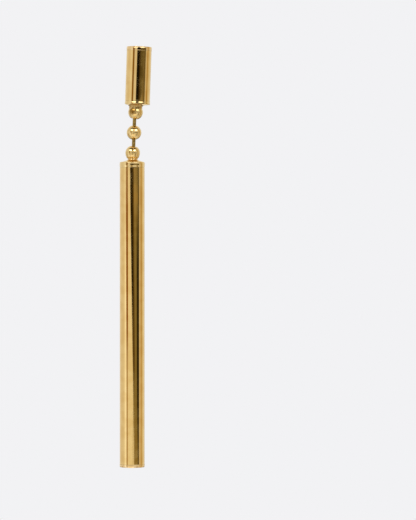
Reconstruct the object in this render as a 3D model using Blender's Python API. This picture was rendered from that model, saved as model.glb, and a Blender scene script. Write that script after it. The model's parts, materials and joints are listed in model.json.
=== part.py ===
"""Bar drop earring: a short tube stud on an ear post, a three-bead ball chain and a long hanging tube.

Metres, +Z up, front towards -Y. The origin is on the post's axis at the stud's back, where the earlobe sits.
The stud leans a little and the chain runs a little off plumb, as the earring hangs in the photograph.
"""

import math

import bmesh
import bpy
from mathutils import Vector

MM = 0.001

# Tube stock, shared by the stud and the drop
TUBE_RADIUS = 2.0 * MM
TUBE_WALL = 0.4 * MM
STUD_LENGTH = 9.3 * MM
STUD_ABOVE_POST = 3.6 * MM
DROP_LENGTH = 49.35 * MM

# End caps, each a rimmed disc with a plug that seats in the tube
STUD_TOP_RIM = 0.6 * MM
STUD_CHAIN_RIM = 0.55 * MM
DROP_CHAIN_RIM = 0.85 * MM
DROP_END_RIM = 0.45 * MM
RIM_PROUD = 0.03 * MM
RIM_ROUND = 0.14 * MM
FREE_DOME = 0.1 * MM
STUD_CHAIN_DOME = 0.2 * MM
DROP_CHAIN_DOME = 0.32 * MM
PLUG_DEPTH = 0.8 * MM
PLUG_GAP = 0.03 * MM
SEAM_GAP = 0.03 * MM

# Ball chain: hollow beads held together by dumbbell links
BEAD_RADIUS = 1.18 * MM
BEAD_WALL = 0.15 * MM
BEADS_APART = 0.93 * MM
WIRE_RADIUS = 0.27 * MM
HOLE_PLAY = 0.23 * MM
HOLE_FLARE = 0.06 * MM
HEAD_CATCH = 0.06 * MM
HEAD_PLAY = 0.03 * MM
HEADS_APART = 0.24 * MM

# How far each end bead's centre lies to the right of the line of the links
STUD_BEAD_ASIDE = 0.13 * MM
DROP_BEAD_ASIDE = -0.105 * MM

# Solder between each end bead and its cap: where it starts on the bead, its waist and its foot
STUD_BEAD_SINK = 0.08 * MM
STUD_SOLDER_START = math.radians(25)
STUD_WAIST_RADIUS = 1.05 * MM
STUD_FOOT_RADIUS = 1.3 * MM
STUD_BEAD_OFFSET = -0.25 * MM
DROP_BEAD_SINK = -0.02 * MM
DROP_SOLDER_START = math.radians(22)
DROP_WAIST_RADIUS = 0.765 * MM
DROP_FOOT_RADIUS = 1.5 * MM
DROP_BEAD_OFFSET = 0.08 * MM
SOLDER_ROOT = 0.25 * MM

# Ear post, soldered to the stud's back
POST_RADIUS = 0.4 * MM
POST_LENGTH = 11.0 * MM
POST_SOLDER_WIDTH = 0.35 * MM
POST_SOLDER_HEIGHT = 0.45 * MM
NOTCH_DEPTH = 0.07 * MM
NOTCH_LENGTH = 0.7 * MM
NOTCH_FROM_TIP = 2.2 * MM
SEAT_GAP = 0.05 * MM

# How the earring hangs
STUD_LEAN = math.radians(1.9)
CHAIN_LEAN = math.radians(2.0)

TUBE_SIDES = 48
BEAD_SIDES = 16
LINK_SIDES = 12
WIRE_SIDES = 6
POST_SIDES = 24

# Worked out from the sizes above
CAVITY_RADIUS = BEAD_RADIUS - BEAD_WALL
HOLE_RADIUS = WIRE_RADIUS + HOLE_PLAY
MOUTH_RADIUS = HOLE_RADIUS + HOLE_FLARE
HEAD_RADIUS = HOLE_RADIUS + HEAD_CATCH
BEAD_PITCH = 2 * BEAD_RADIUS + BEADS_APART
HOLE_DEPTH = math.sqrt(CAVITY_RADIUS**2 - HOLE_RADIUS**2)
MOUTH_DEPTH = math.sqrt(BEAD_RADIUS**2 - MOUTH_RADIUS**2)


def hole_tilt(aside):
    """Angle from the line of the links to the axis of a bead's hole, which opens where that line crosses it."""
    return math.asin(aside / HOLE_DEPTH)


def head_seat():
    """Distance along the links from a bead's centre to a head that rests just clear of the hole's rim."""
    tilt = hole_tilt(max(abs(STUD_BEAD_ASIDE), abs(DROP_BEAD_ASIDE)))
    near_rim = HOLE_DEPTH * math.cos(tilt) - HOLE_RADIUS * math.sin(tilt)
    reach = HOLE_RADIUS * math.cos(tilt)
    return near_rim - math.sqrt((HEAD_RADIUS + HEAD_PLAY) ** 2 - reach**2)


def arc(radius, start, end, steps, centre=(0.0, 0.0)):
    """Points (distance from axis, height) on a circle, with angles from the outward direction up."""
    turn = (end - start) / steps
    return [
        (
            centre[0] + radius * math.cos(start + turn * step),
            centre[1] + radius * math.sin(start + turn * step),
        )
        for step in range(steps + 1)
    ]


def bend(start, control, end, steps):
    """Points on a quadratic curve after its start."""
    points = []
    for step in range(1, steps + 1):
        t = step / steps
        weights = ((1 - t) ** 2, 2 * t * (1 - t), t**2)
        points.append(
            tuple(
                sum(weight * point[side] for weight, point in zip(weights, (start, control, end)))
                for side in (0, 1)
            )
        )
    return points


def between(a, b, share):
    """The point a share of the way from a to b."""
    return tuple(one + (other - one) * share for one, other in zip(a, b))


def polished_gold(name, colour, roughness):
    """A plain polished metal."""
    material = bpy.data.materials.new(name)
    material.use_nodes = True
    shader = material.node_tree.nodes["Principled BSDF"]
    shader.inputs["Base Color"].default_value = (*colour, 1.0)
    shader.inputs["Metallic"].default_value = 1.0
    shader.inputs["Roughness"].default_value = roughness
    material.diffuse_color = (*colour, 1.0)
    return material


def carrier(name, parent=None, location=(0.0, 0.0, 0.0), lean=0.0):
    """An empty that carries pieces, with its top leaning towards +X."""
    empty = bpy.data.objects.new(name, None)
    empty.parent = parent
    empty.location = location
    empty.rotation_euler = (0.0, lean, 0.0)
    bpy.context.scene.collection.objects.link(empty)
    return empty


def turned(name, profile, sides, material, parent, height=0.0, ring=False):
    """A solid turned about local Z from (distance from axis, height) points, closed on the axis or as a ring."""
    mesh = bpy.data.meshes.new(name)
    form = bmesh.new()
    points = [form.verts.new((radius, 0.0, z)) for radius, z in profile]
    pairs = list(zip(points, points[1:]))
    if ring:
        pairs.append((points[-1], points[0]))
    edges = [form.edges.new(pair) for pair in pairs]
    bmesh.ops.spin(
        form, geom=points + edges, cent=(0, 0, 0), axis=(0, 0, 1), angle=math.tau, steps=sides
    )
    bmesh.ops.remove_doubles(form, verts=form.verts, dist=0.0001 * MM)
    bmesh.ops.recalc_face_normals(form, faces=form.faces)
    form.to_mesh(mesh)
    form.free()
    mesh.materials.append(material)
    mesh.shade_smooth()
    mesh.set_sharp_from_angle(angle=math.radians(35))
    piece = bpy.data.objects.new(name, mesh)
    piece.parent = parent
    piece.location = (0.0, 0.0, height)
    bpy.context.scene.collection.objects.link(piece)
    return piece


def combine(piece, helper, operation):
    """Joins the helper to the piece or cuts it away, and keeps the helper itself out of the model."""
    modifier = piece.modifiers.new(helper.name, "BOOLEAN")
    modifier.operation = operation
    modifier.object = helper
    modifier.solver = "EXACT"
    helper.hide_render = True
    helper.display_type = "WIRE"


def tube(name, length, material, parent, top):
    """An open tube whose upper end is at height top."""
    bore = TUBE_RADIUS - TUBE_WALL
    profile = [(TUBE_RADIUS, 0.0), (TUBE_RADIUS, -length), (bore, -length), (bore, 0.0)]
    return turned(name, profile, TUBE_SIDES, material, parent, top, ring=True)


def cap(name, rim, dome, material, parent, height):
    """An end cap with its shoulder at local height 0, its domed face up and its plug down."""
    rim_radius = TUBE_RADIUS + RIM_PROUD
    plug_radius = TUBE_RADIUS - TUBE_WALL - PLUG_GAP
    flat_radius = rim_radius - RIM_ROUND
    steepness = math.atan(2 * dome / flat_radius)
    edge = arc(RIM_ROUND, math.pi / 2 - steepness, 0.0, 4, (flat_radius, 0.0))
    shoulder = edge[0][1]
    edge = [(radius, z - shoulder) for radius, z in edge]
    face_steps = 6
    face = []
    for step in range(face_steps):
        share = step / face_steps
        face.append((edge[0][0] * share, dome * (1 - share**2)))
    plug = [
        (rim_radius, -rim),
        (plug_radius, -rim),
        (plug_radius, -rim - PLUG_DEPTH),
        (0.0, -rim - PLUG_DEPTH),
    ]
    return turned(name, face + edge + plug, TUBE_SIDES, material, parent, height)


def open_bead_profile():
    """A hollow bead with a flared hole at each end: down the outside and up the inside."""
    outer_limit = math.acos(MOUTH_RADIUS / BEAD_RADIUS)
    inner_limit = math.acos(HOLE_RADIUS / CAVITY_RADIUS)
    outer = arc(BEAD_RADIUS, outer_limit, -outer_limit, 10)
    inner = arc(CAVITY_RADIUS, -inner_limit, inner_limit, 10)
    return outer + inner


def soldered_bead_profile(solder_start, waist_radius, foot_radius, shoulder):
    """An end bead still solid, pole up, with the solder below it as far as the root inside its cap."""
    outer = arc(BEAD_RADIUS, math.pi / 2, -solder_start, 12)
    outer[0] = (0.0, BEAD_RADIUS)
    start = outer[-1]
    foot = (foot_radius, -shoulder)
    waist = (waist_radius, between(start, foot, 0.55)[1])
    hug_control = (between(start, waist, 0.25)[0], between(start, waist, 0.75)[1])
    flare_control = (waist_radius, between(waist, foot, 0.6)[1])
    solder = bend(start, hug_control, waist, 4) + bend(waist, flare_control, foot, 4)
    root = [(foot_radius, -shoulder - SOLDER_ROOT), (0.0, -shoulder - SOLDER_ROOT)]
    return outer + solder + root


def hollow_profile():
    """What is taken out of an end bead: its cavity, and a flared hole that runs up and out of it."""
    limit = math.acos(HOLE_RADIUS / CAVITY_RADIUS)
    cavity = arc(CAVITY_RADIUS, -math.pi / 2, limit, 10)
    cavity[0] = (0.0, -CAVITY_RADIUS)
    rim = (HOLE_RADIUS, HOLE_DEPTH)
    mouth = (MOUTH_RADIUS, MOUTH_DEPTH)
    outside = between(rim, mouth, 3)
    return cavity + [outside, (0.0, outside[1])]


def post_profile():
    """The ear post along local +Z: a soldered foot, a plain pin, a friction notch and a round tip."""
    foot_radius = POST_RADIUS + POST_SOLDER_WIDTH
    foot = [(0.0, -foot_radius), (foot_radius, -foot_radius), (foot_radius, 0.0)]
    fillet = bend(foot[-1], (POST_RADIUS, 0.0), (POST_RADIUS, POST_SOLDER_HEIGHT), 4)
    notch = []
    notch_steps = 6
    for step in range(notch_steps + 1):
        share = step / notch_steps
        depth = NOTCH_DEPTH * math.sin(math.pi * share)
        along = POST_LENGTH - NOTCH_FROM_TIP + (share - 0.5) * NOTCH_LENGTH
        notch.append((POST_RADIUS - depth, along))
    tip = arc(POST_RADIUS, 0.0, math.pi / 2, 5, (0.0, POST_LENGTH - POST_RADIUS))
    tip[-1] = (0.0, POST_LENGTH)
    return foot + fillet + notch + tip


def link(name, seat, material, parent, height):
    """A dumbbell link whose upper head's centre is at height, with heads flat towards the beads' middles."""
    length = BEAD_PITCH - 2 * seat
    back = min(HEAD_RADIUS, seat - HEADS_APART / 2)
    neck = HEAD_RADIUS / 2
    wire_ends = [(0.0, -neck), (WIRE_RADIUS, -neck), (WIRE_RADIUS, neck - length), (0.0, neck - length)]
    wire = turned(name, wire_ends, WIRE_SIDES, material, parent, height)
    head = [(0.0, back)] + arc(HEAD_RADIUS, math.asin(back / HEAD_RADIUS), -math.pi / 2, 10)
    head[-1] = (0.0, -HEAD_RADIUS)
    upper = turned(f"{name}_upper_head", head, LINK_SIDES, material, parent, height)
    lower = turned(f"{name}_lower_head", head, LINK_SIDES, material, parent, height - length)
    lower.rotation_euler = (math.pi, 0.0, 0.0)
    combine(wire, upper, "UNION")
    combine(wire, lower, "UNION")


def hang_bead(cap_piece, solder, shoulder, bead_frame, tilt, upside_down):
    """Solders an end bead to its cap and opens it towards the links."""
    flip = math.pi if upside_down else 0.0
    blank = turned(
        f"{cap_piece.name}_bead", soldered_bead_profile(*solder, shoulder), BEAD_SIDES, bead_gold, bead_frame
    )
    blank.rotation_euler = (flip, 0.0, 0.0)
    hollow = turned(f"{cap_piece.name}_hollow", hollow_profile(), BEAD_SIDES, bead_gold, bead_frame)
    hollow.rotation_euler = (flip, tilt, 0.0)
    combine(cap_piece, blank, "UNION")
    combine(cap_piece, hollow, "DIFFERENCE")


for old in list(bpy.data.objects):
    bpy.data.objects.remove(old)

tube_gold = polished_gold("tube_gold", (0.83, 0.56, 0.24), 0.12)
cap_gold = polished_gold("cap_gold", (0.84, 0.58, 0.26), 0.14)
bead_gold = polished_gold("bead_gold", (0.84, 0.57, 0.25), 0.16)
link_gold = polished_gold("link_gold", (0.72, 0.48, 0.19), 0.22)
post_gold = polished_gold("post_gold", (0.82, 0.56, 0.25), 0.18)

seat = head_seat()
down_the_links = Vector((math.sin(CHAIN_LEAN), 0.0, math.cos(CHAIN_LEAN))) * -1
across_the_links = Vector((math.cos(CHAIN_LEAN), 0.0, -math.sin(CHAIN_LEAN)))

# The stud: an open tube, a plain cap on top, and a cap below with the chain's first bead soldered to it
stud_frame = carrier("stud_frame", location=(0.0, -TUBE_RADIUS, 0.0), lean=STUD_LEAN)
stud_bottom = STUD_ABOVE_POST - STUD_LENGTH
stud_tube_top = STUD_ABOVE_POST - STUD_TOP_RIM - SEAM_GAP
stud_tube_bottom = stud_bottom + STUD_CHAIN_RIM + SEAM_GAP
tube("stud_tube", stud_tube_top - stud_tube_bottom, tube_gold, stud_frame, stud_tube_top)
cap("stud_top_cap", STUD_TOP_RIM, FREE_DOME, cap_gold, stud_frame, STUD_ABOVE_POST)
stud_bead_cap = cap("stud_bead_cap", STUD_CHAIN_RIM, STUD_CHAIN_DOME, cap_gold, stud_frame, stud_bottom)
stud_bead_cap.rotation_euler = (math.pi, 0.0, 0.0)
stud_bead_drop = STUD_CHAIN_DOME + BEAD_RADIUS - STUD_BEAD_SINK
stud_bead_frame = carrier(
    "stud_bead_frame", stud_frame, (STUD_BEAD_OFFSET, 0.0, stud_bottom - stud_bead_drop)
)
chain_in_stud = CHAIN_LEAN - STUD_LEAN
hang_bead(
    stud_bead_cap,
    (STUD_SOLDER_START, STUD_WAIST_RADIUS, STUD_FOOT_RADIUS),
    stud_bead_drop,
    stud_bead_frame,
    chain_in_stud + hole_tilt(STUD_BEAD_ASIDE),
    upside_down=True,
)

# The ear post, its foot cut to the stud's round back
ear_post = turned("ear_post", post_profile(), POST_SIDES, post_gold, None)
ear_post.rotation_euler = (-math.pi / 2, 0.0, 0.0)
saddle_radius = TUBE_RADIUS + SEAT_GAP
saddle_ends = [
    (0.0, STUD_LENGTH),
    (saddle_radius, STUD_LENGTH),
    (saddle_radius, -STUD_LENGTH),
    (0.0, -STUD_LENGTH),
]
saddle = turned("post_saddle_cutter", saddle_ends, TUBE_SIDES, post_gold, stud_frame)
combine(ear_post, saddle, "DIFFERENCE")

# The chain, which swings side to side about the head of its upper link
chain_line = carrier(
    "chain_line",
    stud_bead_frame,
    (-STUD_BEAD_ASIDE * math.cos(chain_in_stud), 0.0, STUD_BEAD_ASIDE * math.sin(chain_in_stud)),
    chain_in_stud,
)
chain_pivot = carrier("chain_pivot", chain_line, (0.0, 0.0, -seat))
link("upper_link", seat, link_gold, chain_pivot, 0.0)
turned(
    "middle_bead", open_bead_profile(), BEAD_SIDES, bead_gold, chain_pivot, seat - BEAD_PITCH, ring=True
)
link("lower_link", seat, link_gold, chain_pivot, -BEAD_PITCH)

# The drop, which swings front to back about the head of the lower link and hangs plumb
drop_pivot = carrier("drop_pivot", chain_pivot, (0.0, 0.0, 2 * seat - 2 * BEAD_PITCH), -CHAIN_LEAN)
drop_bead_centre = down_the_links * seat + across_the_links * DROP_BEAD_ASIDE
drop_bead_frame = carrier("drop_bead_frame", drop_pivot, drop_bead_centre)
drop_bead_rise = DROP_CHAIN_DOME + BEAD_RADIUS - DROP_BEAD_SINK
drop_frame = carrier(
    "drop_frame", drop_pivot, drop_bead_centre - Vector((DROP_BEAD_OFFSET, 0.0, drop_bead_rise))
)
drop_bead_cap = cap("drop_bead_cap", DROP_CHAIN_RIM, DROP_CHAIN_DOME, cap_gold, drop_frame, 0.0)
hang_bead(
    drop_bead_cap,
    (DROP_SOLDER_START, DROP_WAIST_RADIUS, DROP_FOOT_RADIUS),
    drop_bead_rise,
    drop_bead_frame,
    CHAIN_LEAN - hole_tilt(DROP_BEAD_ASIDE),
    upside_down=False,
)
drop_tube_top = -DROP_CHAIN_RIM - SEAM_GAP
drop_tube_bottom = -DROP_LENGTH + DROP_END_RIM + SEAM_GAP
tube("drop_tube", drop_tube_top - drop_tube_bottom, tube_gold, drop_frame, drop_tube_top)
drop_end_cap = cap("drop_end_cap", DROP_END_RIM, FREE_DOME, cap_gold, drop_frame, -DROP_LENGTH)
drop_end_cap.rotation_euler = (math.pi, 0.0, 0.0)
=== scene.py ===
"""The looks of a bar drop earring: polished gold tubes, soldered ball chain and ear post in a soft studio."""

import json
import math
from collections import namedtuple

import bmesh
import bpy
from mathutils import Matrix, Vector


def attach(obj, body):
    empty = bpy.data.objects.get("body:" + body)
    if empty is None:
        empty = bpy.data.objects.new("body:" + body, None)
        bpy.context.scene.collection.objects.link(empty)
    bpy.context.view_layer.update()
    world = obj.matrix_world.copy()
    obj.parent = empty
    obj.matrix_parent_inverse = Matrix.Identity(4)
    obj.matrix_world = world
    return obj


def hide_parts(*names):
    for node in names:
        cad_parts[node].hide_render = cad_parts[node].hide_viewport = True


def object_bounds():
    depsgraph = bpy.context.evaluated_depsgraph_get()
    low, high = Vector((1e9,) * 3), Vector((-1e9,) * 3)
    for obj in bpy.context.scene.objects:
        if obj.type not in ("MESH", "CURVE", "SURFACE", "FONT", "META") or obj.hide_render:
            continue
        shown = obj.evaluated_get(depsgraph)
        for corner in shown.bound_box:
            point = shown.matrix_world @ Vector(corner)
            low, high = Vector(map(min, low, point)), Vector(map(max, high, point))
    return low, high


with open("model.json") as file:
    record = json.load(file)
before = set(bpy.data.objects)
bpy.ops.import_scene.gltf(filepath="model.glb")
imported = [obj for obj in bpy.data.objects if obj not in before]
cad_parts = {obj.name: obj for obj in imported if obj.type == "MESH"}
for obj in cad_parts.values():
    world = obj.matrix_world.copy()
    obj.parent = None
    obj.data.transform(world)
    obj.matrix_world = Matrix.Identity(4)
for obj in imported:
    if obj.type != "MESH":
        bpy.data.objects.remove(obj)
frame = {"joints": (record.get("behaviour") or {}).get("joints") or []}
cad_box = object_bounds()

MM = 0.001

# Sizes of the solids that the pieces dress
TUBE_RADIUS = 2.0 * MM
TUBE_WALL = 0.4 * MM
STUD_LENGTH = 9.3 * MM
STUD_ABOVE_POST = 3.6 * MM
DROP_LENGTH = 49.35 * MM
RIM_PROUD = 0.03 * MM
PLUG_DEPTH = 0.8 * MM
PLUG_GAP = 0.03 * MM
BEAD_RADIUS = 1.18 * MM
BEAD_WALL = 0.15 * MM
BEADS_APART = 0.93 * MM
HOLE_RADIUS = 0.5 * MM
MOUTH_RADIUS = 0.56 * MM
HEAD_RADIUS = 0.56 * MM
HEADS_APART = 0.24 * MM
STUD_CHAIN_DOME = 0.2 * MM
DROP_CHAIN_DOME = 0.32 * MM
STUD_BEAD_SINK = 0.08 * MM
DROP_BEAD_SINK = -0.02 * MM
STUD_BEAD_OFFSET = -0.25 * MM
DROP_BEAD_OFFSET = 0.08 * MM
STUD_BEAD_ASIDE = 0.13 * MM
DROP_BEAD_ASIDE = -0.105 * MM
STUD_LEAN = math.radians(1.9)
POST_RADIUS = 0.4 * MM
POST_LENGTH = 11.0 * MM
POST_SOLDER_WIDTH = 0.35 * MM
POST_SOLDER_HEIGHT = 0.45 * MM
NOTCH_DEPTH = 0.07 * MM
NOTCH_LENGTH = 0.7 * MM
NOTCH_FROM_TIP = 2.2 * MM
SOLDER_LIP = 0.08 * MM
BORE_RADIUS = TUBE_RADIUS - TUBE_WALL
CAVITY_RADIUS = BEAD_RADIUS - BEAD_WALL
BEAD_PITCH = 2 * BEAD_RADIUS + BEADS_APART

# What is drawn finer here than in the solids: narrower seams, a middle bead drawn in snugly round the links,
# and their wire as thick as the photograph shows it
SEAM_GAP = 0.015 * MM
WIRE_RADIUS = 0.29 * MM
SNUG_HOLE_RADIUS = 0.33 * MM
SNUG_MOUTH_RADIUS = 0.38 * MM

# The photograph's view: a level camera half a metre away, with the long side of the frame up
IMAGE_WIDTH = 416
IMAGE_HEIGHT = 520
PIXELS_PER_METRE = 6175
CAMERA_DISTANCE = 0.5
SENSOR = 36.0
DROP_AXIS_PIXEL = 132.2
DROP_FOOT_PIXEL = 467.67

# How finely the turned pieces are cut, and how near each other points are joined
TUBE_SIDES = 128
BEAD_SIDES = 72
LINK_SIDES = 28
POST_SIDES = 40
ROW_STEP = 0.3 * MM
CAP_STEP = 0.06 * MM
LINK_STEP = 0.2 * MM
SHARP_ANGLE = math.radians(35)
WELD = 0.0001 * MM

# A ring of a turned piece: its radius, the place of its centre, its tilt, how worn and wavy the metal is
# there, how much its colour is darkened there, and how closely the ring wraps round a tube
Ring = namedtuple("Ring", "radius x z tilt wear waver soot wrap", defaults=(0.0, 0.0, 1.0, 0.0, 0.0))
Rim = namedtuple("Rim", "height dome face_round band")
Solder = namedtuple("Solder", "start waist_radius foot_radius soot")

# The caps' rims: height, rise of the face, rounding at the face, and the band's own outline from the face to
# the seam, as shares of the way and how far each point stands in from the widest
STUD_TOP = Rim(
    0.6 * MM,
    0.1 * MM,
    0.03 * MM,
    ((0.0, 0.029 * MM), (0.26, 0.015 * MM), (0.34, 0.0), (0.92, 0.0), (1.0, 0.003 * MM)),
)
STUD_CHAIN = Rim(
    0.55 * MM,
    STUD_CHAIN_DOME,
    0.05 * MM,
    ((0.0, 0.0), (0.45, 0.0), (0.61, 0.03 * MM), (1.0, 0.03 * MM)),
)
DROP_CHAIN = Rim(
    0.85 * MM,
    DROP_CHAIN_DOME,
    0.06 * MM,
    ((0.0, 0.045 * MM), (0.3, 0.0), (0.59, 0.0), (0.95, 0.04 * MM), (1.0, 0.04 * MM)),
)
DROP_END = Rim(0.45 * MM, 0.1 * MM, 0.08 * MM, ((0.0, 0.06 * MM), (0.4, 0.011 * MM), (1.0, 0.0)))
BAND_EASE = 0.01 * MM

# Roundings of a cap's plug, under the rim and at its end
PLUG_ROOT_ROUND = 0.03 * MM
PLUG_END_ROUND = 0.1 * MM

# A cap waves this little beside a bead, and is worn pale, most of all where it was cleaned after soldering
CAP_WAVER = 0.04
CAP_WEAR = 0.3
SOLDERED_CAP_WEAR = 0.9

# A tube's ends ease in a little where they meet the caps
END_EASE = 0.002 * MM
END_REACH = 0.06 * MM

# How little a tube waves far from its ends, and how far in from them the waves and the wear fade
TUBE_CALM = 0.12
WAVER_REACH = 3.5 * MM
WEAR_REACH = 0.3 * MM

# The solder under each end bead: where it starts on the bead, its waist, its foot and how far its middle is
# darkened
STUD_SOLDER = Solder(math.radians(25), 1.08 * MM, 1.38 * MM, 0.65)
DROP_SOLDER = Solder(math.radians(22), 0.765 * MM, 1.5 * MM, 0.1)

# The solder's outline, in shares of the way down: its waist from the bead to the face, the bend of its flare
# from the waist to the foot, and the bend where it leaves the bead
WAIST_SHARE = 0.55
FLARE_SHARE = 0.6
HUG_SHARE = 0.25

# A painted reflection: a brown patch painted on the stud's bead where it mirrors the brown card on the left.
# Which way it lies from the bead's middle, its size, and the share of it that is darkest
REFLECTION_SIDE = Vector((-0.45, -0.88, 0.17))
REFLECTION_SIZE = 0.85 * MM
REFLECTION_CORE = 0.4


# Outlines


def between(a, b, share):
    """The point a share of the way from a to b."""
    return tuple(one + (other - one) * share for one, other in zip(a, b))


def bend(start, control, end, steps):
    """Points on a quadratic curve after its start."""
    points = []
    for step in range(1, steps + 1):
        t = step / steps
        points.append(between(between(start, control, t), between(control, end, t), t))
    return points


def arc(radius, start, end, steps, height=0.0):
    """Points on a circle about the axis, with angles from the outward direction up."""
    turn = (end - start) / steps
    angles = [start + turn * step for step in range(steps + 1)]
    return [(radius * math.cos(angle), height + radius * math.sin(angle)) for angle in angles]


def rounded(corners, steps=6):
    """An outline through (radius, height, rounding) corners, each corner eased by its rounding."""
    outline = []
    for place, (radius, height, ease) in enumerate(corners):
        corner = (radius, height)
        if ease == 0:
            outline.append(corner)
            continue
        before = corners[place - 1][:2]
        after = corners[place + 1][:2]
        start = between(corner, before, ease / math.dist(corner, before))
        end = between(corner, after, ease / math.dist(corner, after))
        outline.append(start)
        outline.extend(bend(start, corner, end, steps))
    return outline


def filled(outline, step):
    """The outline with its long runs cut into steps, and a narrow step beside each end of a run."""
    points = [outline[0]]
    for start, end in zip(outline, outline[1:]):
        length = math.dist(start, end)
        if length > 2 * step:
            guard = 0.1 * step / length
            pieces = math.ceil(length / step)
            shares = [guard] + [piece / pieces for piece in range(1, pieces)] + [1 - guard]
            points.extend(between(start, end, share) for share in shares)
        points.append(end)
    return points


def rings(outline, wear=0.0, waver=1.0):
    """Level rings about the piece's own axis."""
    return [Ring(radius, 0.0, height, wear=wear, waver=waver) for radius, height in outline]


# Node trees


def put(tree, kind, feeds=None, **settings):
    """Adds a node, with its settings, and feeds its inputs with sockets or values."""
    node = tree.nodes.new(kind)
    for name, value in settings.items():
        setattr(node, name, value)
    for key, value in (feeds or {}).items():
        if isinstance(value, bpy.types.NodeSocket):
            tree.links.new(value, node.inputs[key])
        else:
            node.inputs[key].default_value = value
    return node


def calc(tree, operation, *values):
    """A Math node's result."""
    return put(tree, "ShaderNodeMath", dict(enumerate(values)), operation=operation).outputs[0]


def vector_calc(tree, operation, *values):
    """A Vector Math node's result."""
    feeds = dict(enumerate(values))
    if operation == "SCALE":
        feeds = {0: values[0], "Scale": values[1]}
    return put(tree, "ShaderNodeVectorMath", feeds, operation=operation).outputs[0]


def carried(tree, name):
    """A value that the rings carry, read from the geometry."""
    return put(tree, "GeometryNodeInputNamedAttribute", {"Name": name}, data_type="FLOAT").outputs[0]


def open_group(name, kind, inputs, outputs):
    """A new node group with named sockets, and its two end nodes."""
    group = bpy.data.node_groups.new(name, kind)
    for in_out, sockets in (("INPUT", inputs), ("OUTPUT", outputs)):
        for socket_name, socket_type, *default in sockets:
            socket = group.interface.new_socket(
                name=socket_name, in_out=in_out, socket_type=f"NodeSocket{socket_type}"
            )
            if default:
                socket.default_value = default[0]
    return group, group.nodes.new("NodeGroupInput"), group.nodes.new("NodeGroupOutput")


def ring_stack_group():
    """Skins a stack of rings: each point of the given line carries a ring's centre, radius and tilt."""
    group, given, made = open_group(
        "ring_stack",
        "GeometryNodeTree",
        [
            ("Rings", "Geometry"),
            ("Ring Count", "Int", 2),
            ("Sides", "Int", 32),
            ("Wrap Radius", "Float", 1.0),
        ],
        [("Mesh", "Geometry")],
    )
    ends = calc(group, "ADD", given.outputs["Sides"], 1)
    grid = put(
        group,
        "GeometryNodeMeshGrid",
        {"Vertices X": ends, "Vertices Y": given.outputs["Ring Count"]},
    )
    index = put(group, "GeometryNodeInputIndex").outputs[0]
    row = calc(group, "MODULO", index, given.outputs["Ring Count"])
    column = calc(group, "FLOOR", calc(group, "DIVIDE", index, given.outputs["Ring Count"]))
    turn = calc(group, "MULTIPLY", calc(group, "DIVIDE", column, given.outputs["Sides"]), math.tau)

    def of_ring(value, data_type):
        return put(
            group,
            "GeometryNodeSampleIndex",
            {"Geometry": given.outputs["Rings"], "Value": value, "Index": row},
            data_type=data_type,
            domain="POINT",
            clamp=True,
        ).outputs[0]

    def ring_value(name):
        return of_ring(carried(group, name), "FLOAT")

    centre = of_ring(put(group, "GeometryNodeInputPosition").outputs[0], "FLOAT_VECTOR")
    radius = ring_value("radius")
    tilt = ring_value("tilt")
    out = calc(group, "MULTIPLY", radius, calc(group, "COSINE", turn))
    aside = calc(group, "MULTIPLY", radius, calc(group, "SINE", turn))
    wrap_radius = given.outputs["Wrap Radius"]
    inside = calc(
        group,
        "SQRT",
        calc(
            group,
            "SUBTRACT",
            calc(group, "MULTIPLY", wrap_radius, wrap_radius),
            calc(group, "MULTIPLY", out, out),
        ),
    )
    sag = calc(
        group, "MULTIPLY", ring_value("wrap"), calc(group, "SUBTRACT", inside, wrap_radius)
    )
    across = put(
        group,
        "ShaderNodeCombineXYZ",
        {
            0: calc(group, "MULTIPLY", out, calc(group, "COSINE", tilt)),
            1: aside,
            2: calc(group, "SUBTRACT", sag, calc(group, "MULTIPLY", out, calc(group, "SINE", tilt))),
        },
    ).outputs[0]
    shaped = put(
        group,
        "GeometryNodeSetPosition",
        {"Geometry": grid.outputs["Mesh"], "Position": vector_calc(group, "ADD", centre, across)},
    ).outputs[0]
    for name in ("wear", "waver", "soot"):
        shaped = put(
            group,
            "GeometryNodeStoreNamedAttribute",
            {"Geometry": shaped, "Name": name, "Value": ring_value(name)},
            data_type="FLOAT",
            domain="POINT",
        ).outputs[0]
    closed = put(group, "GeometryNodeMergeByDistance", {"Geometry": shaped, "Distance": WELD}).outputs[0]
    group.links.new(closed, made.inputs["Mesh"])
    return group


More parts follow.
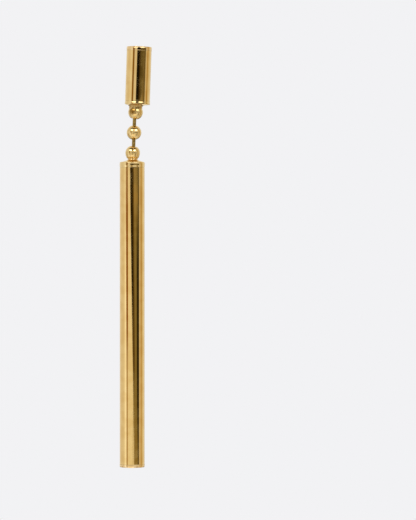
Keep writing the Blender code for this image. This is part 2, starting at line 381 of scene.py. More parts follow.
def turned_piece_tree():
    """A piece turned from rings, with the slight waviness of hand-polished metal, put in its place."""
    tree, given, made = open_group(
        "turned_piece",
        "GeometryNodeTree",
        [
            ("Rings", "Geometry"),
            ("Ring Count", "Int", 2),
            ("Sides", "Int", 32),
            ("Wrap Radius", "Float", 1.0),
            ("Wave Height", "Float", 0.0),
            ("Wave Size", "Vector", (1.0, 1.0, 1.0)),
            ("Seed", "Float", 0.0),
            ("Stain Place", "Vector"),
            ("Stain Size", "Float", 0.0001),
            ("Place", "Vector"),
            ("Turn", "Vector"),
            ("Material", "Material"),
        ],
        [("Mesh", "Geometry")],
    )
    stack = put(tree, "GeometryNodeGroup", node_tree=bpy.data.node_groups["ring_stack"])
    for name in ("Rings", "Ring Count", "Sides", "Wrap Radius"):
        tree.links.new(given.outputs[name], stack.inputs[name])
    position = put(tree, "GeometryNodeInputPosition").outputs[0]
    ripple = put(
        tree,
        "ShaderNodeTexNoise",
        {
            "Vector": vector_calc(tree, "DIVIDE", position, given.outputs["Wave Size"]),
            "W": given.outputs["Seed"],
            "Scale": 1.0,
            "Detail": 0.0,
        },
        noise_dimensions="4D",
    ).outputs[0]
    wave = calc(tree, "MULTIPLY", calc(tree, "SUBTRACT", ripple, 0.5), given.outputs["Wave Height"])
    height = calc(tree, "MULTIPLY", wave, carried(tree, "waver"))
    normal = put(tree, "GeometryNodeInputNormal").outputs[0]
    waved = put(
        tree,
        "GeometryNodeSetPosition",
        {"Geometry": stack.outputs[0], "Offset": vector_calc(tree, "SCALE", normal, height)},
    ).outputs[0]
    placed = put(
        tree,
        "GeometryNodeTransform",
        {
            "Geometry": waved,
            "Translation": given.outputs["Place"],
            "Rotation": given.outputs["Turn"],
        },
    ).outputs[0]
    # A brown patch painted round the given place, a painted reflection, joins the darkening that the rings
    # carry
    here = put(tree, "GeometryNodeInputPosition").outputs[0]
    away = put(
        tree, "ShaderNodeVectorMath", {0: here, 1: given.outputs["Stain Place"]}, operation="DISTANCE"
    ).outputs["Value"]
    painted_reflection = put(
        tree,
        "ShaderNodeMapRange",
        {
            0: away,
            1: calc(tree, "MULTIPLY", given.outputs["Stain Size"], REFLECTION_CORE),
            2: given.outputs["Stain Size"],
            3: 1.0,
            4: 0.0,
        },
        interpolation_type="SMOOTHSTEP",
    ).outputs[0]
    soot = calc(tree, "MAXIMUM", carried(tree, "soot"), painted_reflection)
    darkened = put(
        tree,
        "GeometryNodeStoreNamedAttribute",
        {"Geometry": placed, "Name": "soot", "Value": soot},
        data_type="FLOAT",
        domain="POINT",
    ).outputs[0]
    finish_tree(tree, darkened, given.outputs["Material"], made)
    return tree


def link_row_tree():
    """Dumbbell links in a row down a line, one for each gap between beads."""
    tree, given, made = open_group(
        "link_row",
        "GeometryNodeTree",
        [
            ("Rings", "Geometry"),
            ("Ring Count", "Int", 2),
            ("Sides", "Int", 24),
            ("Links", "Int", 2),
            ("Pitch", "Float", 1.0),
            ("Place", "Vector"),
            ("Turn", "Vector"),
            ("Material", "Material"),
        ],
        [("Mesh", "Geometry")],
    )
    stack = put(tree, "GeometryNodeGroup", node_tree=bpy.data.node_groups["ring_stack"])
    for name in ("Rings", "Ring Count", "Sides"):
        tree.links.new(given.outputs[name], stack.inputs[name])
    down = put(
        tree,
        "ShaderNodeCombineXYZ",
        {2: calc(tree, "MULTIPLY", given.outputs["Pitch"], -1.0)},
    ).outputs[0]
    line = put(
        tree,
        "GeometryNodeMeshLine",
        {"Count": given.outputs["Links"], "Offset": down},
        mode="OFFSET",
    ).outputs[0]
    row = put(
        tree, "GeometryNodeInstanceOnPoints", {"Points": line, "Instance": stack.outputs[0]}
    ).outputs[0]
    placed = put(
        tree,
        "GeometryNodeTransform",
        {
            "Geometry": row,
            "Translation": given.outputs["Place"],
            "Rotation": given.outputs["Turn"],
        },
    ).outputs[0]
    finish_tree(tree, placed, given.outputs["Material"], made)
    return tree


def finish_tree(tree, geometry, material, made):
    """Ends a tree: real geometry, shaded smooth, in its material."""
    real = put(tree, "GeometryNodeRealizeInstances", {"Geometry": geometry}).outputs[0]
    smooth = put(tree, "GeometryNodeSetShadeSmooth", {"Geometry": real}).outputs[0]
    coloured = put(tree, "GeometryNodeSetMaterial", {"Geometry": smooth, "Material": material}).outputs[0]
    tree.links.new(coloured, made.inputs["Mesh"])


def line_of_rings(name, stack):
    """A line of points, one for each ring, that carries the rings' sizes."""
    mesh = bpy.data.meshes.new(name)
    mesh.from_pydata([(ring.x, 0.0, ring.z) for ring in stack], [], [])
    for field in ("radius", "tilt", "wear", "waver", "soot", "wrap"):
        values = mesh.attributes.new(field, "FLOAT", "POINT")
        values.data.foreach_set("value", [getattr(ring, field) for ring in stack])
    return mesh


def make(name, tree, stack, body, slot_name, replaced, **sizes):
    """Runs a tree on a stack of rings and keeps its result as a plain piece that rides on a body."""
    sizes.update({"Ring Count": len(stack), "Material": materials[slot_name]})
    piece = bpy.data.objects.new(name, line_of_rings(name, stack))
    bpy.context.scene.collection.objects.link(piece)
    modifier = piece.modifiers.new(tree.name, "NODES")
    modifier.node_group = tree
    keys = {item.name: item.identifier for item in tree.interface.items_tree if item.in_out == "INPUT"}
    for socket, value in sizes.items():
        modifier[keys[socket]] = value
    depsgraph = bpy.context.evaluated_depsgraph_get()
    mesh = bpy.data.meshes.new_from_object(piece.evaluated_get(depsgraph), depsgraph=depsgraph)
    mesh.name = name
    piece.modifiers.remove(modifier)
    piece.data = mesh
    form = bmesh.new()
    form.from_mesh(mesh)
    bmesh.ops.remove_doubles(form, verts=form.verts, dist=WELD)
    bmesh.ops.recalc_face_normals(form, faces=form.faces)
    form.to_mesh(mesh)
    form.free()
    mesh.set_sharp_from_angle(angle=SHARP_ANGLE)
    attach(piece, body)
    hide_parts(*replaced)


# Gold

# How the plate's colour and gloss mix: the stretch of noise that its patches fade over, how much wear pales
# them, how much of the haze comes from streaks and not from patches, how much darkening adds, and the
# stretch of haze that the gloss fades over
PATCH_LOW = 0.35
PATCH_HIGH = 0.65
WEAR_PALES = 0.6
STREAK_HAZE = 0.6
DARKENING_HAZE = 0.5
HAZE_LOW = 0.25
HAZE_HIGH = 0.75

# A surface with less waver than this has fainter marks, and one with none keeps this share of its roughness
FULLY_MARKED = 0.25
UNMARKED_ROUGHNESS = 0.35


def polish_group():
    """Marks of drawing and polishing: fine streaks down the length, and soft dimples all over."""
    group, given, made = open_group(
        "polish",
        "ShaderNodeTree",
        [
            ("Coordinates", "Vector"),
            ("Streak Width", "Float", 1.0),
            ("Streak Length", "Float", 1.0),
            ("Dimple Size", "Float", 1.0),
            ("Streak Share", "Float", 0.5),
        ],
        [("Height", "Float"), ("Haze", "Float")],
    )
    across = calc(group, "DIVIDE", 1.0, given.outputs["Streak Width"])
    along = calc(group, "DIVIDE", 1.0, given.outputs["Streak Length"])
    stretch = put(group, "ShaderNodeCombineXYZ", {0: across, 1: across, 2: along}).outputs[0]
    streaks = put(
        group,
        "ShaderNodeTexNoise",
        {
            "Vector": vector_calc(group, "MULTIPLY", given.outputs["Coordinates"], stretch),
            "Scale": 1.0,
            "Detail": 3.0,
            "Roughness": 0.6,
        },
    ).outputs[0]
    dimples = put(
        group,
        "ShaderNodeTexNoise",
        {
            "Vector": given.outputs["Coordinates"],
            "Scale": calc(group, "DIVIDE", 1.0, given.outputs["Dimple Size"]),
            "Detail": 2.0,
            "Roughness": 0.5,
        },
    ).outputs[0]
    height = put(
        group,
        "ShaderNodeMix",
        {0: given.outputs["Streak Share"], 2: dimples, 3: streaks},
        data_type="FLOAT",
    ).outputs[0]
    group.links.new(height, made.inputs["Height"])
    group.links.new(streaks, made.inputs["Haze"])
    return group


def plate_group():
    """Colour and gloss of the gold plate: deep and pale patches, paler where it is worn, browner and dull
    where darkened.
    """
    group, given, made = open_group(
        "gold_plate",
        "ShaderNodeTree",
        [
            ("Coordinates", "Vector"),
            ("Deep", "Color"),
            ("Pale", "Color"),
            ("Stain", "Color"),
            ("Patch Size", "Float", 1.0),
            ("Haze", "Float", 0.5),
            ("Gloss Low", "Float", 0.1),
            ("Gloss High", "Float", 0.2),
        ],
        [("Color", "Color"), ("Roughness", "Float")],
    )
    patches = put(
        group,
        "ShaderNodeTexNoise",
        {
            "Vector": given.outputs["Coordinates"],
            "Scale": calc(group, "DIVIDE", 1.0, given.outputs["Patch Size"]),
            "Detail": 3.0,
        },
    ).outputs[0]
    wear = put(group, "ShaderNodeAttribute", attribute_name="wear").outputs["Fac"]
    spread = put(
        group,
        "ShaderNodeMapRange",
        {0: patches, 1: PATCH_LOW, 2: PATCH_HIGH},
        interpolation_type="SMOOTHSTEP",
    ).outputs[0]
    worn = calc(group, "MULTIPLY", wear, WEAR_PALES)
    shade = calc(group, "MINIMUM", calc(group, "ADD", spread, worn), 1.0)
    colour = put(
        group,
        "ShaderNodeMix",
        {0: shade, 6: given.outputs["Deep"], 7: given.outputs["Pale"]},
        data_type="RGBA",
    ).outputs[2]
    # Browner and duller where darkened: the solders' waists, and the painted reflection on the stud's bead
    soot = put(group, "ShaderNodeAttribute", attribute_name="soot").outputs["Fac"]
    colour = put(
        group, "ShaderNodeMix", {0: soot, 6: colour, 7: given.outputs["Stain"]}, data_type="RGBA"
    ).outputs[2]
    haze = calc(group, "MULTIPLY", given.outputs["Haze"], STREAK_HAZE)
    haze = calc(group, "ADD", haze, calc(group, "MULTIPLY", spread, 1 - STREAK_HAZE))
    haze = calc(group, "ADD", haze, calc(group, "MULTIPLY", soot, DARKENING_HAZE))
    gloss = put(
        group,
        "ShaderNodeMapRange",
        {
            0: haze,
            1: HAZE_LOW,
            2: HAZE_HIGH,
            3: given.outputs["Gloss Low"],
            4: given.outputs["Gloss High"],
        },
    ).outputs[0]
    group.links.new(colour, made.inputs["Color"])
    group.links.new(gloss, made.inputs["Roughness"])
    return group


# A gold's two colours and the size of its patches, its gloss, the streaks and dimples of its polish, the
# streaks' share beside the dimples, and the height of this relief
Finish = namedtuple(
    "Finish",
    "deep pale patch gloss_low gloss_high streak_width streak_length dimple streak_share relief",
)
# The brown that darkened metal turns to, at the solders' waists and in the painted reflection on the stud's
# bead
DARKENING_COLOUR = (0.32, 0.17, 0.035)
FINISHES = {
    "tube_gold": Finish(
        deep=(0.80, 0.53, 0.20),
        pale=(0.86, 0.60, 0.25),
        patch=1.6 * MM,
        gloss_low=0.03,
        gloss_high=0.08,
        streak_width=0.11 * MM,
        streak_length=9.0 * MM,
        dimple=1.0 * MM,
        streak_share=0.85,
        relief=0.0006 * MM,
    ),
    "cap_gold": Finish(
        deep=(0.80, 0.54, 0.23),
        pale=(0.88, 0.63, 0.32),
        patch=0.8 * MM,
        gloss_low=0.05,
        gloss_high=0.12,
        streak_width=0.05 * MM,
        streak_length=0.3 * MM,
        dimple=0.3 * MM,
        streak_share=0.4,
        relief=0.0008 * MM,
    ),
    "bead_gold": Finish(
        deep=(0.74, 0.52, 0.21),
        pale=(0.85, 0.62, 0.285),
        patch=0.6 * MM,
        gloss_low=0.13,
        gloss_high=0.2,
        streak_width=0.08 * MM,
        streak_length=0.2 * MM,
        dimple=0.3 * MM,
        streak_share=0.3,
        relief=0.004 * MM,
    ),
    # The links' gold is painted far darker than the rest: painted shade in the narrow gaps between the beads
    "link_gold": Finish(
        deep=(0.27, 0.18, 0.045),
        pale=(0.38, 0.255, 0.075),
        patch=0.4 * MM,
        gloss_low=0.25,
        gloss_high=0.4,
        streak_width=0.04 * MM,
        streak_length=0.4 * MM,
        dimple=0.2 * MM,
        streak_share=0.5,
        relief=0.001 * MM,
    ),
    "post_gold": Finish(
        deep=(0.80, 0.53, 0.23),
        pale=(0.88, 0.62, 0.31),
        patch=1.0 * MM,
        gloss_low=0.08,
        gloss_high=0.16,
        streak_width=0.4 * MM,
        streak_length=0.05 * MM,
        dimple=0.3 * MM,
        streak_share=0.6,
        relief=0.0008 * MM,
    ),
}


def gold(name, finish):
    """A polished gold material from the shared polish and plate."""
    material = bpy.data.materials.new(name)
    material.use_nodes = True
    tree = material.node_tree
    shader = tree.nodes["Principled BSDF"]
    shader.inputs["Metallic"].default_value = 1.0
    coordinates = put(tree, "ShaderNodeTexCoord").outputs["Object"]
    polish = put(tree, "ShaderNodeGroup", node_tree=bpy.data.node_groups["polish"])
    polish_sizes = {
        "Streak Width": finish.streak_width,
        "Streak Length": finish.streak_length,
        "Dimple Size": finish.dimple,
        "Streak Share": finish.streak_share,
    }
    plate = put(tree, "ShaderNodeGroup", node_tree=bpy.data.node_groups["gold_plate"])
    plate_values = {
        "Deep": (*finish.deep, 1.0),
        "Pale": (*finish.pale, 1.0),
        "Stain": (*DARKENING_COLOUR, 1.0),
        "Patch Size": finish.patch,
        "Gloss Low": finish.gloss_low,
        "Gloss High": finish.gloss_high,
    }
    for node, values in ((polish, polish_sizes), (plate, plate_values)):
        tree.links.new(coordinates, node.inputs["Coordinates"])
        for socket, value in values.items():
            node.inputs[socket].default_value = value
    tree.links.new(polish.outputs["Haze"], plate.inputs["Haze"])
    waver = put(tree, "ShaderNodeAttribute", attribute_name="waver").outputs["Fac"]
    marked = calc(tree, "MINIMUM", calc(tree, "DIVIDE", waver, FULLY_MARKED), 1.0)
    height = calc(tree, "MULTIPLY", calc(tree, "SUBTRACT", polish.outputs["Height"], 0.5), marked)
    relief = put(
        tree, "ShaderNodeBump", {"Strength": 1.0, "Distance": finish.relief, "Height": height}
    ).outputs[0]
    kept = calc(tree, "MULTIPLY_ADD", marked, 1 - UNMARKED_ROUGHNESS, UNMARKED_ROUGHNESS)
    roughness = calc(tree, "MULTIPLY", plate.outputs["Roughness"], kept)
    tree.links.new(plate.outputs["Color"], shader.inputs["Base Color"])
    tree.links.new(roughness, shader.inputs["Roughness"])
    tree.links.new(relief, shader.inputs["Normal"])
    return material


# Pieces


def tube_rings(top, bottom):
    """An open tube whose ends ease in, wavier and more worn there, where heat and cloths have been."""
    steps = 8
    shares = [step / steps for step in range(steps + 1)]
    ease = [(TUBE_RADIUS - END_EASE * (1 - share) ** 2, END_REACH * share) for share in shares]
    outside = [(radius, top - inset) for radius, inset in ease]
    outside += [(radius, bottom + inset) for radius, inset in reversed(ease)]
    outline = filled(outside + [(BORE_RADIUS, bottom), (BORE_RADIUS, top), outside[0]], ROW_STEP)
    stack = []
    for radius, height in outline:
        from_end = min(top - height, height - bottom)
        waver = TUBE_CALM + (1 - TUBE_CALM) * math.exp(-from_end / WAVER_REACH)
        wear = math.exp(-from_end / WEAR_REACH)
        stack.append(Ring(radius, 0.0, height, wear=wear, waver=waver))
    return stack


def face_point(rim, radius):
    """A point on a cap's domed face."""
    return (radius, rim.dome * (1 - (radius / (TUBE_RADIUS + RIM_PROUD)) ** 2))


def cap_outline(rim):
    """An end cap's outline from its face's edge, down its band and its plug to the axis."""
    widest = TUBE_RADIUS + RIM_PROUD
    band = [(widest - inset, -rim.height * share) for share, inset in rim.band]
    edge = band[0][0]
    plug_radius = BORE_RADIUS - PLUG_GAP
    plug_end = -rim.height - PLUG_DEPTH
    corners = [
        (*face_point(rim, edge - rim.face_round), 0.0),
        (*face_point(rim, edge), rim.face_round),
        *[(radius, height, BAND_EASE) for radius, height in band[1:-1]],
        (*band[-1], 0.0),
        (plug_radius, -rim.height, PLUG_ROOT_ROUND),
        (plug_radius, plug_end, PLUG_END_ROUND),
        (0.0, plug_end, 0.0),
    ]
    return rounded(corners)


def plain_cap_rings(rim):
    """A cap with a shallow domed face."""
    outline = cap_outline(rim)
    steps = 12
    face = [face_point(rim, outline[0][0] * step / steps) for step in range(steps)]
    return rings(filled(face + outline, CAP_STEP), wear=CAP_WEAR, waver=CAP_WAVER)


def hole_tilt(aside):
    """Angle from the links' line to the axis of a bead's hole, which opens where that line crosses it."""
    return math.asin(aside / math.sqrt(CAVITY_RADIUS**2 - HOLE_RADIUS**2))


def solder_outline(rim, bead_height, solder):
    """The solder's outline from its foot on the face, in to its waist and out to where it meets the bead."""
    start = (BEAD_RADIUS * math.cos(solder.start), bead_height - BEAD_RADIUS * math.sin(solder.start))
    foot = face_point(rim, solder.foot_radius)
    waist = (solder.waist_radius, between(start, foot, WAIST_SHARE)[1])
    flare = (solder.waist_radius, between(waist, foot, FLARE_SHARE)[1])
    hug = (between(start, waist, HUG_SHARE)[0], between(start, waist, 1 - HUG_SHARE)[1])
    return bend(foot, flare, waist, steps=10) + bend(waist, hug, start, steps=10)


def bead_cap_rings(rim, bead_height, bead_x, solder, tilt):
    """A cap with a bead soldered to its face: plug, rim, face, solder, bead, hole and the bead's cavity."""
    outline = list(reversed(cap_outline(rim)))
    stack = rings(filled(outline, CAP_STEP), wear=SOLDERED_CAP_WEAR, waver=CAP_WAVER)
    edge_radius = outline[-1][0]
    steps = 4
    for step in range(1, steps + 1):
        share = step / steps
        radius = edge_radius + (solder.foot_radius - edge_radius) * share
        height = face_point(rim, radius)[1]
        stack.append(Ring(radius, bead_x * share, height, wear=SOLDERED_CAP_WEAR, waver=CAP_WAVER))
    fillet = solder_outline(rim, bead_height, solder)
    for place, (radius, height) in enumerate(fillet):
        # The solder is made darker towards the middle of its fillet, under the bead
        soot = solder.soot * math.sqrt(math.sin(math.pi * (place + 1) / len(fillet)))
        stack.append(Ring(radius, bead_x, height, wear=1.0, soot=soot))
    low = -solder.start
    high = math.acos(MOUTH_RADIUS / BEAD_RADIUS)
    steps = 28
    for step in range(1, steps + 1):
        share = step / steps
        turn = low + (high - low) * share
        stack.append(bead_ring(BEAD_RADIUS, turn, bead_x, bead_height, tilt * share))
    stack.extend(hole_rings(bead_x, bead_height, tilt))
    return stack


def bead_ring(radius, angle, x, z, tilt):
    """A ring on a sphere about (x, z), at an angle up from its middle, on an axis tilted from upright."""
    rise = radius * math.sin(angle)
    level_radius = max(0.0, radius * math.cos(angle))
    return Ring(level_radius, x + rise * math.sin(tilt), z + rise * math.cos(tilt), tilt)


def hole_rings(x, z, tilt):
    """The flared hole and the cavity behind it, down to the cavity's floor."""
    high = math.acos(HOLE_RADIUS / CAVITY_RADIUS)
    steps = 12
    angles = [high + (-math.pi / 2 - high) * step / steps for step in range(steps + 1)]
    return [bead_ring(CAVITY_RADIUS, angle, x, z, tilt) for angle in angles]


def loose_bead_rings():
    """The middle bead, which never turns on its links: hollow, drawn in snugly round their wires."""
    mouth = math.acos(SNUG_MOUTH_RADIUS / BEAD_RADIUS)
    hole = math.acos(SNUG_HOLE_RADIUS / CAVITY_RADIUS)
    outside = arc(BEAD_RADIUS, mouth, -mouth, steps=40)
    inside = arc(CAVITY_RADIUS, -hole, hole, steps=16)
    return rings(outside + inside + outside[:1])


def link_rings(length, back):
    """A dumbbell link from its upper head's flat back to its lower one's."""
    flat = math.asin(back / HEAD_RADIUS)
    neck = math.acos(WIRE_RADIUS / HEAD_RADIUS)
    upper = arc(HEAD_RADIUS, flat, -neck, steps=12)
    lower = arc(HEAD_RADIUS, neck, -flat, steps=12, height=-length)
    outline = [(0.0, back)] + upper + lower + [(0.0, -length - back)]
    return rings(filled(outline, LINK_STEP))


def post_rings():
    """The ear post: a soldered foot that hugs the stud, a plain pin, a notch and a round tip."""
    foot_radius = POST_RADIUS + POST_SOLDER_WIDTH
    levels = 8
    stack = [Ring(foot_radius * level / levels, 0.0, 0.0, wrap=1.0) for level in range(levels + 1)]
    stack.append(Ring(foot_radius, 0.0, SOLDER_LIP, wrap=1.0))
    lip = (foot_radius, SOLDER_LIP)
    corner = (POST_RADIUS, SOLDER_LIP)
    solder_top = (POST_RADIUS, POST_SOLDER_HEIGHT)
    fillet = bend(lip, corner, solder_top, steps=10)
    for step, (radius, height) in enumerate(fillet):
        stack.append(Ring(radius, 0.0, height, wrap=(1 - (step + 1) / len(fillet)) ** 2))
    outline = [solder_top]
    notch_steps = 16
    for step in range(notch_steps + 1):
        share = step / notch_steps
        depth = NOTCH_DEPTH * math.sin(math.pi * share)
        along = POST_LENGTH - NOTCH_FROM_TIP + (share - 0.5) * NOTCH_LENGTH
        outline.append((POST_RADIUS - depth, along))
    outline.extend(arc(POST_RADIUS, 0.0, math.pi / 2, steps=8, height=POST_LENGTH - POST_RADIUS))
    outline[-1] = (0.0, POST_LENGTH)
    return stack + rings(filled(outline, ROW_STEP)[1:])


# Studio

BACKDROP = (0.888, 0.888, 0.905)
BASE_LIGHT = (0.81, 0.805, 0.79)

# What stands round the earring, later cards in front of earlier ones. Left and right are degrees round from
# the camera, with their drift for each degree of height, low and high are degrees above the level, and edge
# and fade are the degrees that the upright and the level sides soften over
Card = namedtuple("Card", "left right edge left_drift right_drift low high fade colour")
CARDS = (
    # Behind the earring, mirrored at the tubes' very edges
    Card(132, 400, 20, 0, 0, -90, 90, 10, (0.88, 0.89, 0.85)),
    Card(-400, -132, 20, 0, 0, -90, 90, 10, (0.88, 0.89, 0.85)),
    Card(153, 400, 10, 0, 0, -90, 90, 10, (0.9, 0.84, 0.65)),
    Card(-400, -152, 10, 0, 0, -90, 90, 10, (0.9, 0.84, 0.65)),
    Card(166, 400, 6, 0, 0, -5, 5, 2, (0.2, 0.155, 0.08)),
    Card(-400, -168, 6, 0, 0, -5, 5, 2, (0.2, 0.155, 0.08)),
    # Low down all round, mirrored in the rims
    Card(150, 171, 6, 0, 0, -50, -8, 4, (0.2, 0.155, 0.08)),
    Card(126, 140, 6, 0, 0, -50, -8, 4, (0.4, 0.3, 0.17)),
    Card(-166, -148, 6, 0, 0, -50, -8, 4, (0.14, 0.11, 0.06)),
    Card(-120, -104, 6, 0, 0, -50, -8, 4, (0.4, 0.28, 0.14)),
    Card(-54, -40, 5, 0, 0, -48, -8, 4, (0.5, 0.38, 0.22)),
    Card(-14, 6, 6, 0, 0, -48, -10, 4, (0.42, 0.34, 0.2)),
    Card(42, 62, 6, 0, 0, -48, -10, 4, (0.42, 0.34, 0.2)),
    Card(-48, 20, 6, 0, 0, -52, -30, 6, (1.35, 1.3, 1.15)),
    # In front and to the left, mirrored in the tubes' pale left half and its narrow brown stripe
    Card(-39, 26, 5, 0, 0, -8, 2.1, 2, (0.92, 0.92, 0.84)),
    Card(-84, -57, 8, 0, 0, -60, 60, 20, (0.9, 0.92, 0.92)),
    Card(-71, -58, 4, 0, 0, -60, 0.3, 2, (1.15, 1.22, 1.32)),
    Card(-56.5, -38.2, 3, -2.2, -0.3, -1.8, 1.6, 1.2, (0.31, 0.125, 0.006)),
    Card(-50, -39.5, 4, 0, 0, -6, -1.8, 1.2, (0.5, 0.36, 0.19)),
    Card(-58, -40, 4, 0, 0, 1.6, 45, 0.8, (0.28, 0.155, 0.025)),
    # In front and to the right, mirrored in the tubes' black and brown middle
    Card(-7.2, 68, 4, -7.2, 0, -4.6, 1.85, 0.6, (0.26, 0.215, 0.085)),
    Card(14, 54, 8, 0, 0, 0.9, 1.8, 0.6, (0.43, 0.34, 0.16)),
    Card(8, 50, 8, 0, 0, -4.6, -2.9, 0.8, (0.3, 0.24, 0.09)),
    Card(-15, 68, 6, 0, 0, 1.85, 6.0, 0.5, (0.115, 0.095, 0.036)),
    Card(44, 60, 5, 0, 0, 1.5, 6.0, 0.6, (0.17, 0.14, 0.065)),
    Card(-7.2, 20, 5, -7.2, -3.3, -2.2, 1.85, 0.8, (0.12, 0.08, 0.022)),
    Card(-7.2, 11, 5, -7.2, -3.3, -1.0, 1.85, 0.8, (0.028, 0.02, 0.006)),
    Card(-15, 19, 6, 0, 0, 1.85, 6.0, 0.5, (0.06, 0.038, 0.01)),
    Card(-13, 9, 6, 0, 0, 1.85, 6.0, 0.5, (0.012, 0.009, 0.004)),
    Card(60, 68.5, 4, 0, 0, -4.6, 6.0, 0.8, (0.12, 0.095, 0.045)),
    Card(43, 68, 5, -1.2, 0, -3.3, 0.7, 1.6, (0.032, 0.025, 0.01)),
    Card(10, 19.5, 4, 0, 0, -4.6, -3.2, 0.8, (0.92, 0.92, 0.84)),
    # To the right, mirrored in the tubes' right edge
    Card(70, 88, 4, 0, 0, -60, 60, 20, (0.67, 0.6, 0.46)),
    Card(74, 88, 4, 0, 0, -60, 0.9, 1.2, (0.77, 0.71, 0.6)),
    Card(88, 101, 5, 0, 0, -45, 50, 3, (0.55, 0.38, 0.12)),
    Card(87, 101, 5, 0, 0, -1.2, 1.6, 1.5, (0.47, 0.31, 0.07)),
    Card(101, 118, 8, 0, 0, -45, 50, 20, (0.72, 0.66, 0.5)),
    # Above the camera: two lights with a dim gap between them, mirrored in the beads and the rims
    Card(-16, 18, 4, 0, 0, 24, 60, 6, (0.35, 0.3, 0.2)),
    Card(-58, -14, 4, 0, 0, 31, 46, 3, (5.5, 5.5, 5.4)),
    Card(16, 56, 4, 0, 0, 31, 46, 3, (5.5, 5.5, 5.4)),
)

# The black flag overhead, which bows back at its ends, in shares of its height above the earring
FLAG_FRONT = -0.6
FLAG_BACK = -0.1
FLAG_REACH = 0.85
FLAG_BOW = 0.75
FLAG_EDGE = 0.08
FLAG_END_EDGE = 0.15
FLAG_COLOUR = (0.03, 0.025, 0.015)

# The flag shows only in directions that rise by at least this share of their length
FLAG_LOWEST = 0.1
FLAG_LOWEST_EDGE = 0.02

# The sweep's size, in metres
SWEEP_REACH = 2.0
SWEEP_BELOW = 0.06
SWEEP_FLAT = 0.75 * SWEEP_REACH
SWEEP_CURVE = 0.25 * SWEEP_REACH
SWEEP_HEIGHT = 1.5 * SWEEP_REACH


def light_studio():
    """Soft light all round, with cards and flags that the polished metal mirrors."""
    world = bpy.data.worlds.new("studio")
    bpy.context.scene.world = world
    world.use_nodes = True
    tree = world.node_tree
    direction = put(tree, "ShaderNodeTexCoord").outputs["Generated"]
    side = put(tree, "ShaderNodeSeparateXYZ", {0: direction})
    to_camera = calc(tree, "MULTIPLY", side.outputs[1], -1.0)
    azimuth = calc(tree, "DEGREES", calc(tree, "ARCTAN2", side.outputs[0], to_camera))
    elevation = calc(tree, "DEGREES", calc(tree, "ARCSINE", side.outputs[2]))

    def past(value, limit, edge):
        return put(
            tree,
            "ShaderNodeMapRange",
            {0: calc(tree, "SUBTRACT", value, limit), 1: -edge / 2, 2: edge / 2},
            interpolation_type="SMOOTHSTEP",
        ).outputs[0]

    def laid_over(below, share, colour):
        feeds = {0: share, 6: below, 7: (*colour, 1.0)}
        return put(tree, "ShaderNodeMix", feeds, data_type="RGBA").outputs[2]

    colour = put(tree, "ShaderNodeRGB").outputs[0]
    colour.default_value = (*BASE_LIGHT, 1.0)
    for card in CARDS:
        left = calc(tree, "MULTIPLY_ADD", elevation, card.left_drift, card.left)
        right = calc(tree, "MULTIPLY_ADD", elevation, card.right_drift, card.right)
        across = calc(tree, "MULTIPLY", past(azimuth, left, card.edge), past(right, azimuth, card.edge))
        above = past(elevation, card.low, card.fade)
        upright = calc(tree, "MULTIPLY", above, past(card.high, elevation, card.fade))
        colour = laid_over(colour, calc(tree, "MULTIPLY", across, upright), card.colour)
    aside = calc(tree, "DIVIDE", side.outputs[0], side.outputs[2])
    bow = calc(tree, "MULTIPLY", calc(tree, "MULTIPLY", aside, aside), FLAG_BOW)
    back = calc(tree, "SUBTRACT", calc(tree, "DIVIDE", side.outputs[1], side.outputs[2]), bow)
    flag = calc(tree, "MULTIPLY", past(back, FLAG_FRONT, FLAG_EDGE), past(FLAG_BACK, back, FLAG_EDGE))
    ends = past(FLAG_REACH, calc(tree, "ABSOLUTE", aside), FLAG_END_EDGE)
    flag = calc(tree, "MULTIPLY", flag, ends)
    flag = calc(tree, "MULTIPLY", flag, past(side.outputs[2], FLAG_LOWEST, FLAG_LOWEST_EDGE))
    colour = laid_over(colour, flag, FLAG_COLOUR)
    seen = put(tree, "ShaderNodeLightPath").outputs["Is Camera Ray"]
    shown = laid_over(colour, seen, BACKDROP)
    tree.links.new(shown, tree.nodes["Background"].inputs["Color"])


def build_sweep():
    """A round pale floor that curves up into a wall, far outside every view's camera."""
    floor = cad_box[0].z - SWEEP_BELOW
    outline = [(0.0, floor), (SWEEP_FLAT, floor)]
    outline += bend(outline[-1], (SWEEP_REACH, floor), (SWEEP_REACH, floor + SWEEP_CURVE), steps=12)
    outline.append((SWEEP_REACH, floor + SWEEP_HEIGHT))
    form = bmesh.new()
    points = [form.verts.new((radius, 0.0, height)) for radius, height in outline]
    edges = [form.edges.new(pair) for pair in zip(points, points[1:])]
    middle = (0, 0, 0)
    upwards = (0, 0, 1)
    bmesh.ops.spin(form, geom=points + edges, cent=middle, axis=upwards, angle=math.tau, steps=64)
    bmesh.ops.remove_doubles(form, verts=form.verts, dist=WELD)
    mesh = bpy.data.meshes.new("sweep")
    form.to_mesh(mesh)
    form.free()
    mesh.shade_smooth()
    material = bpy.data.materials.new("pale_sweep")
    material.use_nodes = True
    tree = material.node_tree
    glow = put(tree, "ShaderNodeEmission", {"Color": (*BACKDROP, 1.0)}).outputs[0]
    tree.links.new(glow, tree.nodes["Material Output"].inputs["Surface"])
    mesh.materials.append(material)
    sweep = bpy.data.objects.new("sweep", mesh)
    sweep.visible_glossy = False
    sweep.visible_diffuse = False
    sweep.visible_shadow = False
    bpy.context.scene.collection.objects.link(sweep)


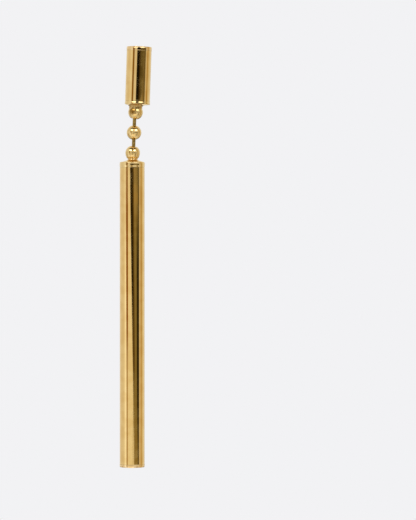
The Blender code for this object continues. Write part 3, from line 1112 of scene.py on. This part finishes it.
def place_camera(drop_x, drop_foot):
    """A level camera on the photograph's axis, with the drop on its own pixels."""
    camera = bpy.data.cameras.new("camera")
    focal_pixels = PIXELS_PER_METRE * CAMERA_DISTANCE
    camera.lens = focal_pixels * SENSOR / IMAGE_HEIGHT
    camera.sensor_width = SENSOR
    camera.clip_start = 0.05
    camera.clip_end = 20
    eye = bpy.data.objects.new("camera", camera)
    across = (IMAGE_WIDTH / 2 - DROP_AXIS_PIXEL) / PIXELS_PER_METRE
    up = (DROP_FOOT_PIXEL - IMAGE_HEIGHT / 2) / PIXELS_PER_METRE
    eye.location = (drop_x + across, -TUBE_RADIUS - CAMERA_DISTANCE, drop_foot + up)
    eye.rotation_euler = (math.pi / 2, 0.0, 0.0)
    bpy.context.scene.collection.objects.link(eye)
    bpy.context.scene.camera = eye
    bpy.context.scene.view_settings.view_transform = "Standard"
    bpy.context.scene.view_settings.look = "None"


# Places, worked out from the frame's joints and the sizes above
joints = {joint["name"]: Vector(joint["pos_m"]) for joint in frame["joints"]}
chain_top, chain_foot = joints["chain_swing"], joints["drop_swing"]
chain_run = chain_foot - chain_top
chain_lean = math.atan2(-chain_run.x, -chain_run.z)
along_chain = -chain_run.normalized()
across_chain = Vector((along_chain.z, 0.0, -along_chain.x))
head_seat = BEAD_PITCH - chain_run.length / 2
stud_bead = chain_top + along_chain * head_seat + across_chain * STUD_BEAD_ASIDE
drop_bead = chain_foot - along_chain * head_seat + across_chain * DROP_BEAD_ASIDE
drop_bead_rise = DROP_CHAIN_DOME + BEAD_RADIUS - DROP_BEAD_SINK
drop_top = drop_bead - Vector((DROP_BEAD_OFFSET, 0.0, drop_bead_rise))
stud_axis = Vector((math.sin(STUD_LEAN), 0.0, math.cos(STUD_LEAN)))
stud_middle = Vector((0.0, -TUBE_RADIUS, 0.0))
stud_foot = STUD_ABOVE_POST - STUD_LENGTH
stud_bead_drop = STUD_CHAIN_DOME + BEAD_RADIUS - STUD_BEAD_SINK
drop_foot = -DROP_LENGTH

place_camera(drop_top.x, cad_box[0].z)
light_studio()
build_sweep()

ring_stack_group()
turned_piece = turned_piece_tree()
link_row = link_row_tree()
polish_group()
plate_group()
materials = {name: gold(name, finish) for name, finish in FINISHES.items()}

# What the tubes, the caps and the beads share: how finely they are cut and how they wave
tube_sizes = {"Sides": TUBE_SIDES, "Wave Height": 0.014 * MM, "Wave Size": Vector((1.2, 1.2, 5.0)) * MM}
cap_sizes = {"Sides": TUBE_SIDES, "Wave Height": 0.022 * MM, "Wave Size": Vector((0.9, 0.9, 0.9)) * MM}
bead_sizes = {"Sides": BEAD_SIDES, "Wave Height": 0.022 * MM, "Wave Size": Vector((0.8, 0.8, 0.8)) * MM}

make(
    "stud_barrel",
    turned_piece,
    tube_rings(STUD_ABOVE_POST - STUD_TOP.height - SEAM_GAP, stud_foot + STUD_CHAIN.height + SEAM_GAP),
    "stud",
    "tube_gold",
    ["stud_tube"],
    Seed=1.0,
    **tube_sizes,
    Place=stud_middle,
    Turn=(0.0, STUD_LEAN, 0.0),
)
make(
    "stud_crown",
    turned_piece,
    plain_cap_rings(STUD_TOP),
    "stud",
    "cap_gold",
    ["stud_top_cap"],
    Seed=2.0,
    **cap_sizes,
    Place=stud_middle + stud_axis * STUD_ABOVE_POST,
    Turn=(0.0, STUD_LEAN, 0.0),
)
make(
    "stud_bead",
    turned_piece,
    bead_cap_rings(
        STUD_CHAIN,
        stud_bead_drop,
        STUD_BEAD_OFFSET,
        STUD_SOLDER,
        -(chain_lean - STUD_LEAN + hole_tilt(STUD_BEAD_ASIDE)),
    ),
    "stud",
    "bead_gold",
    ["stud_bead_cap"],
    Seed=3.0,
    **bead_sizes,
    Place=stud_middle + stud_axis * stud_foot,
    Turn=(math.pi, STUD_LEAN, 0.0),
    # A brown patch painted where the bead mirrors the brown card on the left: a painted reflection
    **{"Stain Place": stud_bead + REFLECTION_SIDE * BEAD_RADIUS, "Stain Size": REFLECTION_SIZE},
)
make(
    "ear_pin",
    turned_piece,
    post_rings(),
    "stud",
    "post_gold",
    ["ear_post"],
    Seed=4.0,
    Sides=POST_SIDES,
    **{"Wrap Radius": TUBE_RADIUS},
    Turn=(-math.pi / 2, 0.0, 0.0),
)
make(
    "chain_links",
    link_row,
    link_rings(BEAD_PITCH - 2 * head_seat, head_seat - HEADS_APART / 2),
    "chain",
    "link_gold",
    ["upper_link", "lower_link"],
    Sides=LINK_SIDES,
    Links=2,
    Pitch=BEAD_PITCH,
    Place=chain_top,
    Turn=(0.0, chain_lean, 0.0),
)
make(
    "chain_bead",
    turned_piece,
    loose_bead_rings(),
    "chain",
    "bead_gold",
    ["middle_bead"],
    Seed=5.0,
    **bead_sizes,
    Place=(chain_top + chain_foot) / 2,
    Turn=(0.0, chain_lean, 0.0),
)
make(
    "drop_bead",
    turned_piece,
    bead_cap_rings(
        DROP_CHAIN,
        drop_bead_rise,
        DROP_BEAD_OFFSET,
        DROP_SOLDER,
        chain_lean - hole_tilt(DROP_BEAD_ASIDE),
    ),
    "drop",
    "bead_gold",
    ["drop_bead_cap"],
    Seed=6.0,
    **bead_sizes,
    Place=drop_top,
)
make(
    "drop_barrel",
    turned_piece,
    tube_rings(-DROP_CHAIN.height - SEAM_GAP, drop_foot + DROP_END.height + SEAM_GAP),
    "drop",
    "tube_gold",
    ["drop_tube"],
    Seed=7.0,
    **tube_sizes,
    Place=drop_top,
)
make(
    "drop_foot",
    turned_piece,
    plain_cap_rings(DROP_END),
    "drop",
    "cap_gold",
    ["drop_end_cap"],
    Seed=8.0,
    **cap_sizes,
    Place=drop_top + Vector((0.0, 0.0, drop_foot)),
    Turn=(math.pi, 0.0, 0.0),
)
